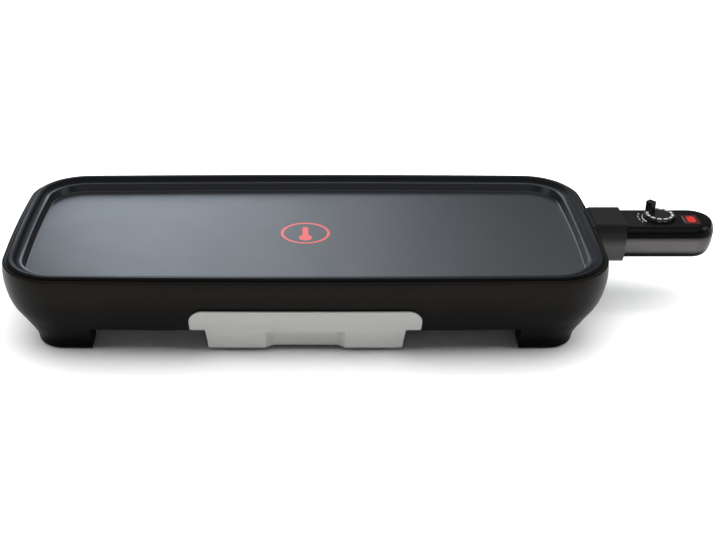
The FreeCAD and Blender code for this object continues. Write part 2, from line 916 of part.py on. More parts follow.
def socket_guard():
    collar = guard_outside(0, half_length - rim_width, guard_end)
    # Under the plate's lip the collar stops short of the skirt, and beside it at the rim's height
    skirt = half_length - rim_width
    over_rim = box(skirt - 1, half_length + 0.6, -half_width, half_width, rim_height, guard_top + 1)
    collar = collar.cut(over_rim)
    # The wall piece that closes the notch up to the ledge
    inner = guard_outside(0, half_length - ledge_width, skirt)
    inner = inner.cut(
        box(half_length - 2 * ledge_width, skirt + 1, -half_width, half_width, ledge_height, guard_top + 1)
    )
    half = guard_box_half
    house = rounded_box(
        guard_start,
        half_length - ledge_width + 1,
        plug_y - half,
        plug_y + half,
        guard_box_bottom,
        guard_box_top,
        0.01,
    )
    pieces = [collar, inner, house]
    for y in guard_screw_rows():
        pieces.append(
            box(
                guard_screw_x - tab_half,
                guard_screw_x + tab_half,
                min(y, plug_y) - (tab_half if y < plug_y else -half + 1),
                max(y, plug_y) + (tab_half if y > plug_y else -half + 1),
                guard_box_top - tab_thickness,
                guard_box_top,
            )
        )
    guard = fused(pieces)
    room = half - guard_wall
    guard = guard.cut(
        box(
            guard_start + guard_wall,
            guard_mouth_x + 1,
            plug_y - room,
            plug_y + room,
            guard_box_bottom + 2,
            guard_box_top - 1.6,
        )
    )
    guard = guard.cut(pod_inside(guard_gap, guard_mouth_x, guard_end + 1))
    for y in pin_rows():
        through = rod(
            (guard_start - 1, y, pin_height),
            (guard_start + guard_wall + 1, y, pin_height),
            bead_wall + 0.1,
        )
        guard = guard.cut(through)
    guard = guard.cut(
        rod(
            (guard_start - 1, plug_y, pin_height),
            (guard_start + guard_wall + 1, plug_y, pin_height),
            probe_radius + 1,
        )
    )
    for y in guard_screw_rows():
        guard = guard.cut(
            rod(
                (guard_screw_x, y, guard_box_bottom),
                (guard_screw_x, y, guard_box_top + 1),
                screw_radius + thread_fit,
            )
        )
    return guard


def screw(x, y, seat, length, turned=1):
    """A pan-head screw whose head lies under seat; turned is -1 for one that points down."""
    shank = rod((x, y, seat), (x, y, seat + turned * length), screw_radius)
    head = rod((x, y, seat - turned * screw_head_height), (x, y, seat), screw_head_radius)
    rim = [e for e in head.Edges if abs(e.CenterOfMass.z - (seat - turned * screw_head_height)) < 0.01]
    head = head.makeFillet(1.0, rim)
    return fused([shank, head])


def heat_reflector():
    """A shallow pressed pan: sheet floor with an upturned rim, cut back at the right for the plug."""
    low, high = sheet_height, sheet_height + sheet_rim
    args = (sheet_left, sheet_right, sheet_front, sheet_back)
    outer = rounded_box(*args, low, high, sheet_corner)
    inner_args = (
        args[0] + sheet_thickness,
        args[1] - sheet_thickness,
        args[2] + sheet_thickness,
        args[3] - sheet_thickness,
    )
    inner = rounded_box(*inner_args, low + sheet_thickness, high + 1, sheet_corner - sheet_thickness)
    pan = outer.cut(inner)
    # Long pressed beads keep the thin floor flat
    for y in (-sheet_bead_spacing, 0, sheet_bead_spacing):
        ends = (sheet_left + sheet_bead_margin, sheet_right - sheet_bead_margin)
        pan = pan.fuse(bead(ends, y, sheet_bead_half, low + 0.1, low + sheet_thickness + sheet_bead_rise))
        pan = pan.cut(bead(ends, y, sheet_bead_half - sheet_thickness, low - 1, low + sheet_bead_rise))
    for x, y in boss_places():
        pan = pan.cut(rod((x, y, low - 1), (x, y, low + 2), screw_radius + thread_fit))
    return pan


def bead(ends, y, half, low, high):
    """A long round-ended bar along X, for a bead pressed into a floor."""
    return rounded_box(ends[0] - half, ends[1] + half, y - half, y + half, low, high, half - 0.01)


def pod_shell(upper, shrink):
    """The part of the thermostat's form above or below its parting line, made smaller by shrink."""
    form = pod_form(-shrink, pod_start + shrink)
    reach = pod_length
    if upper:
        zone = (pod_parting + pod_parting_gap / 2, pod_top + reach)
    else:
        zone = (pod_bottom - reach, pod_parting - pod_parting_gap / 2)
    return form.common(box(pod_start - 1, pod_end + 1, plug_y - reach, plug_y + reach, *zone))


def case_half(upper):
    """One half of the case: the form's skin, with a hole in its front wall for the plug block."""
    skin = pod_shell(upper, 0).cut(pod_form(-pod_wall, pod_start + pod_wall))
    mouth = box(
        pod_start - 1,
        pod_start + pod_wall + 1,
        plug_y - plug_half - plug_fit,
        plug_y + plug_half + plug_fit,
        plug_bottom - plug_fit,
        plug_top + plug_fit,
    )
    return skin.cut(mouth)


def post_places():
    rows = (plug_y - case_screw_y, plug_y + case_screw_y)
    return [(pod_start + x, y) for x in case_screw_along for y in rows]


def thermostat_upper_case():
    case = case_half(True)
    low = pod_parting + pod_parting_gap / 2
    posts = [rod((x, y, low), (x, y, pod_top - 1), post_radius) for x, y in post_places()]
    inner = pod_form(-pod_wall + 0.3, pod_start + 1)
    case = fused([case] + [post.common(inner) for post in posts])
    for x, y in post_places():
        case = case.cut(
            rod((x, y, pod_parting - 1), (x, y, pod_top - pod_wall - 2), screw_radius + thread_fit)
        )
    case = case.cut(
        rod((dial_x, plug_y, pod_top - 5), (dial_x, plug_y, pod_top + 1), spindle_radius + spindle_fit)
    )
    window = rounded_box(
        lens_x - lens_length / 2 - lens_fit,
        lens_x + lens_length / 2 + lens_fit,
        lens_y - lens_width / 2 - lens_fit,
        lens_y + lens_width / 2 + lens_fit,
        pod_top - pod_wall - 3,
        pod_top + 2,
        lens_round,
    )
    return case.cut(window)


def thermostat_lower_case():
    case = case_half(False)
    inner = pod_form(-pod_wall + 0.3, pod_start + 1)
    high = pod_parting - pod_parting_gap / 2
    posts = [
        rod((x, y, pod_bottom + 0.5), (x, y, high), post_radius).common(inner)
        for x, y in post_places()
    ]
    wells = [
        rod((x, y, pod_bottom + 0.5), (x, y, pod_bottom + screw_well + 1.5), screw_head_radius + 1.6)
        for x, y in post_places()
    ]
    posts += [well.common(inner) for well in wells]
    # Round seat for the cord gland on the rear side
    seat_out = plug_y + pod_half
    seat = rod(
        (gland_x, seat_out - 6, gland_height), (gland_x, seat_out, gland_height), gland_head
    )
    posts.append(seat)
    case = fused([case] + posts)
    case = case.cut(
        rod(
            (gland_x, seat_out - 10, gland_height),
            (gland_x, seat_out + 1, gland_height),
            gland_radius + 0.05,
        )
    )
    for x, y in post_places():
        well = pod_bottom + screw_well
        case = case.cut(rod((x, y, pod_bottom - 1), (x, y, pod_parting + 1), screw_radius + thread_fit))
        case = case.cut(rod((x, y, pod_bottom - 1), (x, y, well), screw_head_radius + 0.2))
    return case


def cord_gland():
    """Rubber bush in the rear of the case, with the hole that a cord would pass through."""
    seat = plug_y + pod_half
    body = rod(
        (gland_x, seat - gland_length + gland_head_length, gland_height),
        (gland_x, seat, gland_height),
        gland_radius,
    )
    head = rod(
        (gland_x, seat, gland_height),
        (gland_x, seat + gland_head_length, gland_height),
        gland_head,
    )
    rim = [e for e in head.Edges if e.BoundBox.YMin > seat + gland_head_length - 0.01]
    head = head.makeFillet(1.2, rim)
    hole = rod(
        (gland_x, seat - gland_length, gland_height),
        (gland_x, seat + gland_length, gland_height),
        cord_hole_radius,
    )
    return fused([body, head]).cut(hole)


def plug_block():
    """Heat-proof block at the thermostat's nose, which carries the two sockets and the probe."""
    nose = rounded_box(
        plug_start,
        pod_start + pod_wall,
        plug_y - plug_half,
        plug_y + plug_half,
        plug_bottom,
        plug_top,
        2.0,
    )
    inner = pod_shell(False, pod_wall + plug_fit)
    back = inner.common(
        box(
            pod_start,
            pod_start + pod_wall + flange_depth,
            plug_y - pod_half,
            plug_y + pod_half,
            plug_bottom - 1,
            plug_top + 2,
        )
    )
    neck = box(
        pod_start,
        pod_start + pod_wall + 1,
        plug_y - plug_half + 1.5,
        plug_y + plug_half - 1.5,
        plug_bottom + 1,
        plug_top,
    )
    block = fused([nose, neck, back])
    for y in pin_rows():
        block = block.cut(
            rod((plug_start - 1, y, pin_height), (pod_start + 20, y, pin_height), socket_radius)
        )
    return block.cut(
        rod((plug_start - 1, plug_y, pin_height), (pod_start + 20, plug_y, pin_height), probe_radius)
    )


def socket_tube(y):
    start = plug_start + 1
    end = pod_start + pod_wall + flange_depth
    tube = rod((start, y, pin_height), (end, y, pin_height), socket_radius)
    bore = rod(
        (start - 1, y, pin_height), (pin_tip + 2, y, pin_height), pin_radius + socket_fit
    )
    slit = box(start - 1, start + 14, y - 0.4, y + 0.4, pin_height - 5, pin_height + 5)
    return tube.cut(bore).cut(slit)


def temperature_probe():
    end = dial_x - switch_length / 2
    tube = rod((probe_tip, plug_y, pin_height), (end, plug_y, pin_height), probe_radius)
    tip = [e for e in tube.Edges if e.BoundBox.XMax < probe_tip + 0.01]
    return tube.makeFillet(1.8, tip)


def switch_body():
    half = switch_width / 2
    body = box(
        dial_x - switch_length / 2,
        dial_x + switch_length / 2,
        plug_y - half,
        plug_y + half,
        switch_bottom,
        switch_top,
    )
    body = body.makeChamfer(1.0, [e for e in body.Edges if e.Length < 15])
    floor = pod_bottom + pod_wall
    leg = box(dial_x - 6, dial_x + 6, plug_y - 6, plug_y + 6, floor, switch_bottom)
    seat = rod(
        (dial_x, plug_y, switch_top - 4), (dial_x, plug_y, switch_top + 1), spindle_radius + spindle_fit
    )
    return fused([body, leg]).cut(seat)


def bimetal_blade():
    """Two-metal strip clamped on the switch body, arched towards its contact."""
    start = dial_x + spindle_radius + 1.5
    end = dial_x + switch_length / 2 - 1
    z = switch_top
    lower = [(start, z), (start + 4, z), (start + 9, z + 1.2), (end, z + 1.6)]
    upper = [(x, height + blade_thickness) for x, height in lower[::-1]]
    wire = rounded_wire(lower + upper, [0, 3, 3, 0, 0, 3, 3, 0], upright(plug_y - blade_width / 2))
    return prism(wire, Vector(0, blade_width, 0))


def selector_dial():
    low = pod_top + dial_gap
    disc = rod((dial_x, plug_y, low), (dial_x, plug_y, low + dial_thickness), dial_radius)
    top = [e for e in disc.Edges if e.BoundBox.ZMin > low + dial_thickness - 0.01]
    disc = disc.makeFillet(1.0, top)
    # Finger notches round the rim
    for i in range(dial_notches):
        angle = math.radians(fin_angle) + math.tau * (i + 0.5) / dial_notches
        x = dial_x + (dial_radius + 0.9) * math.cos(angle)
        y = plug_y + (dial_radius + 0.9) * math.sin(angle)
        disc = disc.cut(rod((x, y, low - 1), (x, y, low + dial_thickness + 1), 1.6))
    fin = box(
        fin_offset - fin_length / 2,
        fin_offset + fin_length / 2,
        -fin_width / 2,
        fin_width / 2,
        low + 1,
        low + dial_thickness + fin_height,
    )
    fin = fin.makeFillet(0.9, [e for e in fin.Edges if e.BoundBox.ZMax > low + 3])
    fin.rotate(Vector(0, 0, 0), Vector(0, 0, 1), fin_angle)
    fin.translate(Vector(dial_x, plug_y, 0))
    return fused([disc, fin])


def dial_spindle():
    top = pod_top + dial_gap
    shaft = rod((dial_x, plug_y, top - spindle_length), (dial_x, plug_y, top), spindle_radius)
    cam = rod(
        (dial_x, plug_y, switch_top + 0.3), (dial_x, plug_y, switch_top + 1.5), spindle_radius + 0.8
    )
    return fused([shaft, cam])


def pilot_lens():
    half_l, half_w = lens_length / 2, lens_width / 2
    top = pod_top + lens_stand
    lens = rounded_box(
        lens_x - half_l,
        lens_x + half_l,
        lens_y - half_w,
        lens_y + half_w,
        top - lens_thickness,
        top,
        lens_round - lens_fit,
    )
    rim = [e for e in lens.Edges if e.BoundBox.ZMin > top - 0.01]
    lens = lens.makeFillet(0.7, rim)
    return lens


def pilot_lamp():
    """Small neon lamp lying under the lens, on its two-legged holder."""
    z = pod_top + lens_stand - lens_thickness - lamp_radius - 0.4
    half = lamp_length / 2
    bulb = rod((lens_x - half, plug_y, z), (lens_x + half, plug_y, z), lamp_radius)
    ends = [e for e in bulb.Edges if e.Length > 5 and abs(e.BoundBox.XLength) < 0.01]
    return bulb.makeFillet(1.2, ends)


def lamp_holder():
    z = pod_top + lens_stand - lens_thickness - lamp_radius - 0.4
    floor = pod_bottom + pod_wall
    half = lamp_length / 2
    leg = box(
        lens_x - half + 2, lens_x + half - 2, plug_y - 3.5, plug_y + 3.5, floor, z
    )
    cradle = rod((lens_x - half, plug_y, z), (lens_x + half, plug_y, z), lamp_radius + 0.02)
    return leg.cut(cradle)


def tray_plan(shrink, z):
    """The tray's outline at height z; the sides lean in towards the floor, the front follows the wall."""
    lean = tray_taper * (tray_top - z) / (tray_top - tray_bottom)
    half = tray_half - lean - shrink
    front = -(half_width - wall_inset(z) - front_gap - tray_behind_front) + shrink
    corners = rectangle(-half, half, front, tray_back - lean - shrink)
    return rounded_wire(corners, [tray_corner - shrink] * 4, flat(z))


def drip_tray():
    outer = Part.makeLoft([tray_plan(0, tray_bottom), tray_plan(0, tray_top)], True, True)
    base_edges = [e for e in outer.Edges if e.BoundBox.ZMax < tray_bottom + 0.01]
    outer = outer.makeFillet(4.0, base_edges)
    floor = tray_bottom + tray_wall
    inner = Part.makeLoft(
        [tray_plan(tray_wall, floor), tray_plan(tray_wall, tray_top + 1)], True, True
    )
    base_edges = [e for e in inner.Edges if e.BoundBox.ZMax < floor + 0.01]
    inner = inner.makeFillet(3.0, base_edges)
    low = tray_top - tray_lip_thickness
    top_front = tray_plan(0, tray_top).BoundBox.YMin
    reach = tray_half + tray_lip
    lip = rounded_box(-reach, reach, top_front, tray_back + 3, low, tray_top, 3.0)
    tray = fused([outer, lip]).cut(inner)
    # Low ribs on the floor stiffen it
    for y in (-tray_rib_spacing, 0, tray_rib_spacing):
        ends = (tray_rib_margin - tray_half, tray_half - tray_rib_margin)
        tray = tray.fuse(bead(ends, y, tray_rib_half, floor - 0.5, floor + tray_rib_height))
    for x, y in peg_places():
        lug = box(x - 5, x + 5, top_front + 0.5, y + 4, low, tray_top)
        tray = fused([tray, lug])
        tray = tray.cut(rod((x, y, low - 1), (x, y, tray_top + 1), peg_radius + 0.1))
    return tray


def front_plan():
    """The tray front's outline as the cook sees it: ears over the wall above, narrower below."""
    lower = front_lower_half
    corners = [
        (-front_foot_half, front_bottom),
        (front_foot_half, front_bottom),
        (lower, front_step),
        (front_half, front_step),
        (front_half, front_top),
        (-front_half, front_top),
        (-front_half, front_step),
        (-lower, front_step),
    ]
    radii = [2.0, 2.0, 0.8, 1.5, front_corner, front_corner, 1.5, 0.8]
    return rounded_wire(corners, radii, upright(-half_width - 20))


def front_panel(half, top):
    """A plain panel outline, for what lies behind the tray front's skin."""
    corners = rectangle(-half, half, front_bottom, top)
    return rounded_wire(corners, [3.0] * 4, upright(-half_width - 20))


def front_layer(inside, wire):
    """A layer that follows the body's curve, from the front's face in to a depth behind the wall's face."""
    outer = body_form(front_proud, front_bottom - 1, front_top + 1)
    inner = body_form(-inside, 0, rim_height)
    band = prism(wire, Vector(0, half_width - 20, 0))
    return outer.common(band).cut(inner)


def scoop_plan(depth, z):
    """Plan of the finger scoop at one height: a trough with leaning flanks, as deep as depth."""
    front = -(half_width - wall_inset(z) + front_proud)
    half = scoop_half + scoop_flank
    floor = scoop_half + scoop_flank * (1 - depth / scoop_depth)
    corners = [
        (-half - 2, front - 6),
        (half + 2, front - 6),
        (half, front),
        (floor, front + depth),
        (-floor, front + depth),
        (-half, front),
    ]
    soft = scoop_soft * depth / scoop_depth
    return rounded_wire(corners, [0, 0, soft, soft, soft, soft], flat(z))


def peg_places():
    """Where the tray front's pegs drop into the tray's lip."""
    return [(x, tray_plan(0, tray_top).BoundBox.YMin + peg_depth) for x in (-peg_x, peg_x)]


def tray_front():
    skin = front_layer(-front_gap, front_plan())
    backing = front_layer(front_backing, front_panel(tray_half - 1.5, tray_top + 4))
    floor_depth = scoop_depth - front_proud + scoop_skin
    hub = front_layer(floor_depth, front_panel(scoop_half + scoop_flank + 4, scoop_top + 4))
    shelf_low = tray_top + shelf_gap
    shelf_half = tray_half - 4
    peg_y = peg_places()[0][1]
    face = -(half_width - wall_inset(shelf_low))
    shelf = box(
        -shelf_half, shelf_half, face + 0.8, peg_y + 4, shelf_low, shelf_low + shelf_thickness
    )
    pieces = [skin, backing, hub, shelf]
    for x, y in peg_places():
        peg = rod((x, y, shelf_low + 1), (x, y, tray_top - tray_lip_thickness - 1.4), peg_radius)
        tip = [e for e in peg.Edges if e.BoundBox.ZMax < tray_top - tray_lip_thickness - 1.3]
        pieces.append(peg.makeChamfer(0.7, tip))
    front = fused(pieces)
    bend = scoop_top - scoop_slope
    heights = [front_bottom - 2, (front_bottom + bend) / 2 - 1, bend]
    trough = Part.makeLoft([scoop_plan(scoop_depth, z) for z in heights], True, True)
    slope = Part.makeLoft(
        [scoop_plan(scoop_depth, bend), scoop_plan(scoop_depth * 0.08, scoop_top)], True, True
    )
    return front.cut(trough).cut(slope)


def runner_screw_places():
    x = tray_half + tray_lip + tray_side_gap + runner_wall + runner_foot / 2
    y = half_width - flange_inset + 5.5
    return [(side * x, end * y) for side in (-1, 1) for end in (-1, 1)]


def tray_runner():
    """Right-hand runner: a channel that the tray's lip slides in, with a foot at each end."""
    floor = flange_top
    inside = tray_half + tray_lip + tray_side_gap
    lip_low = tray_top - tray_lip_thickness
    low = lip_low - runner_gap - runner_wall
    high = tray_top + runner_gap + runner_wall
    web = box(inside, inside + runner_wall, -runner_end, runner_end, floor, high)
    low_leg = box(
        inside - runner_hook, inside + 1, -runner_end, runner_end, low, lip_low - runner_gap
    )
    high_leg = box(
        inside - runner_hook, inside + 1, -runner_end, runner_end, tray_top + runner_gap, high
    )
    pieces = [web, low_leg, high_leg]
    for x, y in runner_screw_places():
        if x > 0:
            pieces.append(
                box(
                    inside + 1,
                    inside + runner_wall + runner_foot,
                    y - 5.0,
                    y + 5.0,
                    floor,
                    floor + runner_wall,
                )
            )
    runner = fused(pieces)
    for x, y in runner_screw_places():
        runner = runner.cut(
            rod((x, y, floor - 1), (x, y, floor + runner_wall + 1), screw_radius + thread_fit)
        )
    return runner


def build():
    save("base_housing", base_housing())
    for x, y in pad_places():
        side = "left" if x < 0 else "right"
        end = "front" if y < 0 else "rear"
        save("foot_pad_" + end + "_" + side, foot_pad(x, y))
    runner = tray_runner()
    save("tray_runner_right", runner)
    save("tray_runner_left", mirrored(runner, Vector(1, 0, 0)))
    grip = flange_thickness + runner_wall
    screws = [screw(x, y, skirt_bottom, grip) for x, y in runner_screw_places()]
    save("runner_screws", group(screws))
    save("cooking_plate", cooking_plate())
    save("heating_element", tube_along(element_path(), element_radius))
    rows = pin_rows()
    save("terminal_pin_front", terminal_pin(rows[0]))
    save("terminal_pin_rear", terminal_pin(rows[1]))
    save("terminal_insulators", insulators())
    save("socket_guard", socket_guard())
    tab_under = guard_box_top - tab_thickness
    screws = [screw(guard_screw_x, y, tab_under, guard_screw_length) for y in guard_screw_rows()]
    save("guard_screws", group(screws))
    save("heat_reflector", heat_reflector())
    screws = [screw(x, y, sheet_height, reflector_screw_length) for x, y in boss_places()]
    save("reflector_screws", group(screws))
    save("drip_tray", drip_tray())
    save("tray_front", tray_front())
    save("thermostat_upper_case", thermostat_upper_case())
    save("thermostat_lower_case", thermostat_lower_case())
    seat = pod_bottom + screw_well
    screws = [screw(x, y, seat, case_screw_length) for x, y in post_places()]
    save("case_screws", group(screws))
    save("plug_block", plug_block())
    save("contact_socket_front", socket_tube(rows[0]))
    save("contact_socket_rear", socket_tube(rows[1]))
    save("temperature_probe", temperature_probe())
    save("switch_body", switch_body())
    save("bimetal_blade", bimetal_blade())
    save("selector_dial", selector_dial())
    save("dial_spindle", dial_spindle())
    save("pilot_lens", pilot_lens())
    save("pilot_lamp", pilot_lamp())
    save("lamp_holder", lamp_holder())
    save("cord_gland", cord_gland())
    print(saved)


build()
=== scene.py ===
# %% [markdown]
# # An electric plancha, dressed for its picture
# The plancha is a long black cooking plate that sits in a plastic base on four feet. A drip tray with a
# silver-grey front slides in under the plate, and a thermostat with a dial plugs into the right end.
#
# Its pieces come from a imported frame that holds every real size. They could be modelled again by eye, but
# then they would drift from those sizes, so their shapes are left alone here. This lesson gives them their
# finishes, adds the small details that only show from close by, and sets the light and the camera.

# %% Load the frame
import math

import bmesh
import bpy
import numpy as np
from mathutils import Matrix, Vector


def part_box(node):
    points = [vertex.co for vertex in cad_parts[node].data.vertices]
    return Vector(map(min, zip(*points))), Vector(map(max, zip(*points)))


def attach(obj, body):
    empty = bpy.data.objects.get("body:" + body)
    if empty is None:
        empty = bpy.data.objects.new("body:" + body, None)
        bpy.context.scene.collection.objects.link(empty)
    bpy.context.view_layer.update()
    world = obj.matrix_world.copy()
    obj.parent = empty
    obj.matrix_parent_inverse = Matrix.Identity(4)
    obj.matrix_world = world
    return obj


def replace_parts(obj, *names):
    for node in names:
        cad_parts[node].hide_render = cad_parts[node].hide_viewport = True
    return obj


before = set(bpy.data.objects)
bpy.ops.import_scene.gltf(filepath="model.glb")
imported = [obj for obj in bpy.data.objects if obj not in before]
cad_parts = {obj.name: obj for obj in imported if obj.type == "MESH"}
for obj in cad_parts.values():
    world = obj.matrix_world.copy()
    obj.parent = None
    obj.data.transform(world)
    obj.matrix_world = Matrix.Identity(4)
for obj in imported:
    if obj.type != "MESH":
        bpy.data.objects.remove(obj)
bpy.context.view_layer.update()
materials_before = len(bpy.data.materials)
plate_low, plate_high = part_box("cooking_plate")
plate_middle = (plate_low + plate_high) / 2
print("pieces in the frame:", len(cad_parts))

# %% [markdown]
# ## A short way to write materials
# A material is a net of small nodes. It could be drawn by hand in the node editor, or written node by node,
# but neither is easy to read again. So two little classes do the wiring: a Finish adds nodes, and a Wire is
# a value inside the net that ordinary sums can be done with. The sum 1 - mask then adds the node that works
# it out.

# %% A value that sums can be done with
class Wire:
    """A value inside a material. Each sum on it adds one Math node, on numbers or on other Wires."""

    def __init__(self, finish, socket):
        self.finish = finish
        self.socket = socket

    def work_out(self, operation, *values, clamp=False):
        settings = {"operation": operation, "use_clamp": clamp}
        return self.finish.node("ShaderNodeMath", settings, dict(enumerate(values)))

    def __add__(self, other):
        return self.work_out("ADD", self, other)

    def __radd__(self, other):
        return self.work_out("ADD", other, self)

    def __sub__(self, other):
        return self.work_out("SUBTRACT", self, other)

    def __rsub__(self, other):
        return self.work_out("SUBTRACT", other, self)

    def __mul__(self, other):
        return self.work_out("MULTIPLY", self, other)

    def __rmul__(self, other):
        return self.work_out("MULTIPLY", other, self)

    def __truediv__(self, other):
        return self.work_out("DIVIDE", self, other)

    def __rtruediv__(self, other):
        return self.work_out("DIVIDE", other, self)

    def __pow__(self, other):
        return self.work_out("POWER", self, other)

    def absolute(self):
        return self.work_out("ABSOLUTE", self)

    def sine(self):
        return self.work_out("SINE", self)

    def at_least(self, lowest):
        return self.work_out("MAXIMUM", self, lowest)

    def at_most(self, highest):
        return self.work_out("MINIMUM", self, highest)

    def above(self, edge, soft):
        """A ramp from 0 to 1 about the edge, as wide as soft.

        It is the value minus the edge, over soft, plus a half, kept from 0 to 1.
        """
        return self.work_out("ADD", (self - edge) / soft, 0.5, clamp=True)

    def below(self, edge, soft):
        """The same ramp the other way: 1 minus above."""
        return 1 - self.above(edge, soft)


def distance(across, along):
    """How far a point lies from a middle: the root of the sum of both squares."""
    return (across * across + along * along) ** 0.5


def opaque(colour):
    """A colour as a socket takes it: three numbers get an alpha of 1, and a Wire stays a Wire."""
    return colour if isinstance(colour, Wire) else (*colour, 1)


# %% One material
class Finish:
    """One material. node() adds a node: its settings first, then a value or a Wire for each input."""

    def __init__(self, name):
        self.material = bpy.data.materials.new(name)
        self.material.use_nodes = True
        self.tree = self.material.node_tree
        self.tree.nodes.clear()

    def node(self, kind, settings=None, inputs=None, output=0):
        made = self.tree.nodes.new(kind)
        for name, value in (settings or {}).items():
            setattr(made, name, value)
        for key, value in (inputs or {}).items():
            if isinstance(value, Wire):
                self.tree.links.new(value.socket, made.inputs[key])
            else:
                made.inputs[key].default_value = value
        return Wire(self, made.outputs[output]) if made.outputs else None

    def place(self):
        """Where a point lies on the object, in metres."""
        return self.node("ShaderNodeTexCoord", output="Object")

    def axes(self):
        """The x, y and z of that place, as three values."""
        split = self.node("ShaderNodeSeparateXYZ", {}, {"Vector": self.place()})
        return [Wire(self, socket) for socket in split.socket.node.outputs]

    def stretched(self, scale):
        """The place with its axes scaled, for grain that runs one way."""
        return self.node("ShaderNodeMapping", {}, {"Vector": self.place(), "Scale": scale})

    def noise(self, size, detail=2.0, rough=0.5, place=None):
        """Cloudy grey noise about 0.5, whose lumps are about as large as size, in metres."""
        inputs = {"Vector": place or self.place(), "Scale": 1 / size, "Detail": detail, "Roughness": rough}
        return self.node("ShaderNodeTexNoise", {}, inputs)

    def mix(self, share, first, second):
        """A colour between two: 1 minus share parts of the first and share parts of the second."""
        inputs = {0: share, 6: opaque(first), 7: opaque(second)}
        return self.node("ShaderNodeMix", {"data_type": "RGBA"}, inputs, 2)

    def bump(self, height, depth, normal=None):
        """Normals tilted as if the surface stood up by height times depth, in metres."""
        inputs = {"Height": height, "Distance": depth, "Strength": 1.0}
        if normal:
            inputs["Normal"] = normal
        return self.node("ShaderNodeBump", {}, inputs)

    def shader(self, colour, roughness, normal=None, **extra):
        """A plastic, paint or metal shader. Its other sockets go by their names, with _ for a space."""
        names = {key.replace("_", " ").title().replace("Ior", "IOR"): v for key, v in extra.items()}
        inputs = {"Base Color": opaque(colour), "Roughness": roughness, **names}
        if normal:
            inputs["Normal"] = normal
        return self.node("ShaderNodeBsdfPrincipled", {}, inputs)

    def finished(self, shader):
        self.node("ShaderNodeOutputMaterial", {}, {"Surface": shader})
        return self.material

    def blend(self, share, first, second):
        """Two shaders in one material: the first where share is 0, the second where it is 1."""
        return self.finished(self.node("ShaderNodeMixShader", {}, {0: share, 1: first, 2: second}))

    def surface(self, colour, roughness, normal=None, **extra):
        """The whole material, with one shader."""
        return self.finished(self.shader(colour, roughness, normal, **extra))


# %% [markdown]
# ## Black moulded plastic
# The base and the thermostat are injection-moulded in a warm black plastic. The mould was spark-eroded, so
# the surface has a very fine grain that spreads the highlights. A picture of such plastic could be wrapped
# round each piece, but every piece would first have to be laid out flat. A noise that reads the place on
# the object needs no layout. One finer than half a millimetre gives the grain, and a slow, broad one lets
# the gloss wander a little, as it does on any large moulding.
#
# Some stretches get painted shade: the lower part of the base, the edges of the cases and the top of the
# collar. There a mask, worked out from the place, fades the polished shader into a darker one that mirrors
# little.

# %% One plastic
# painted shade: the darker colour and the small mirror of the shaded stretches
painted_shade_black = (0.0022, 0.0019, 0.0016)
painted_shade_mirror = 0.03
tone_cloud = 0.02
gloss_cloud = 0.05
gloss_wander = 0.05


def moulded(name, colour, roughness, grain=0.00045, depth=0.000012, mirror=0.5, painted_shade=None):
    """Grainy plastic, whose tone wanders between the colour and 1.25 times the colour.

    Its gloss is the roughness plus twice the wander times a noise minus a half. The last argument is a
    function of x, y and z that says where painted shade darkens the plastic and takes most of its mirror,
    from 0 to 1.
    """
    finish = Finish(name)
    lighter = tuple(c * 1.25 for c in colour)
    tone = finish.mix(finish.noise(tone_cloud, 3.0), colour, lighter)
    gloss = roughness + (finish.noise(gloss_cloud, 2.0) - 0.5) * (2 * gloss_wander)
    normal = finish.bump(finish.noise(grain, 3.0, 0.6), depth)
    polished = finish.shader(tone, gloss, normal, specular_ior_level=mirror)
    if not painted_shade:
        return finish.finished(polished)
    # painted shade: a darker shader that mirrors little
    shaded = finish.shader(painted_shade_black, gloss, normal, specular_ior_level=painted_shade_mirror)
    return finish.blend(painted_shade(*finish.axes()), polished, shaded)


# %% Where the painted shade falls
# painted shade, darker towards the feet of the base
base_shade_height = 0.050
base_shade_soft = 0.034
# painted shade on the top of the collar
collar_shade_height = 0.061
collar_shade_soft = 0.008
collar_shade_share = 0.75
# painted shade on the upper case's edge
upper_case_edge = 0.0705
upper_case_soft = 0.0030
# painted shade round a bright band on the lower case
band_over_foot = 0.0062
band_foot_soft = 0.0040
band_under_joint = 0.0015
band_joint_soft = 0.0050
band_before_end = 0.009
band_end_soft = 0.022


def painted_shade_low_on_the_base(x, y, z):
    """Painted shade: a ramp down the height, 1 at the feet and 0 under the rim."""
    return z.below(base_shade_height, base_shade_soft)


def painted_shade_on_the_collar_top(x, y, z):
    """Painted shade: a ramp up the height, times the share of the shade at the top."""
    return z.above(collar_shade_height, collar_shade_soft) * collar_shade_share


def painted_shade_on_the_upper_case_edge(x, y, z):
    """Painted shade: a short ramp, 1 under the edge where the top rounds over and 0 on the top."""
    return z.below(upper_case_edge, upper_case_soft)


def painted_shade_on_the_lower_case_edges(x, y, z):
    """Painted shade: 1 minus a bright band, the product of three ramps: over the foot, under the joint,
    before the end.
    """
    low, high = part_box("thermostat_lower_case")
    over_foot = z.above(low.z + band_over_foot, band_foot_soft)
    under_joint = z.below(high.z - band_under_joint, band_joint_soft)
    before_end = x.below(high.x - band_before_end, band_end_soft)
    return 1 - over_foot * under_joint * before_end


# %% The plastics and rubbers
warm_black = (0.0044, 0.0036, 0.0028)
soft_black = (0.0150, 0.0135, 0.0125)
deep_black = (0.0040, 0.0038, 0.0037)
smoke_brown = (0.030, 0.024, 0.023)
collar_grey = (0.026, 0.025, 0.024)
runner_grey = (0.022, 0.022, 0.022)
resin_brown = (0.020, 0.014, 0.010)
rubber_black = (0.014, 0.014, 0.014)

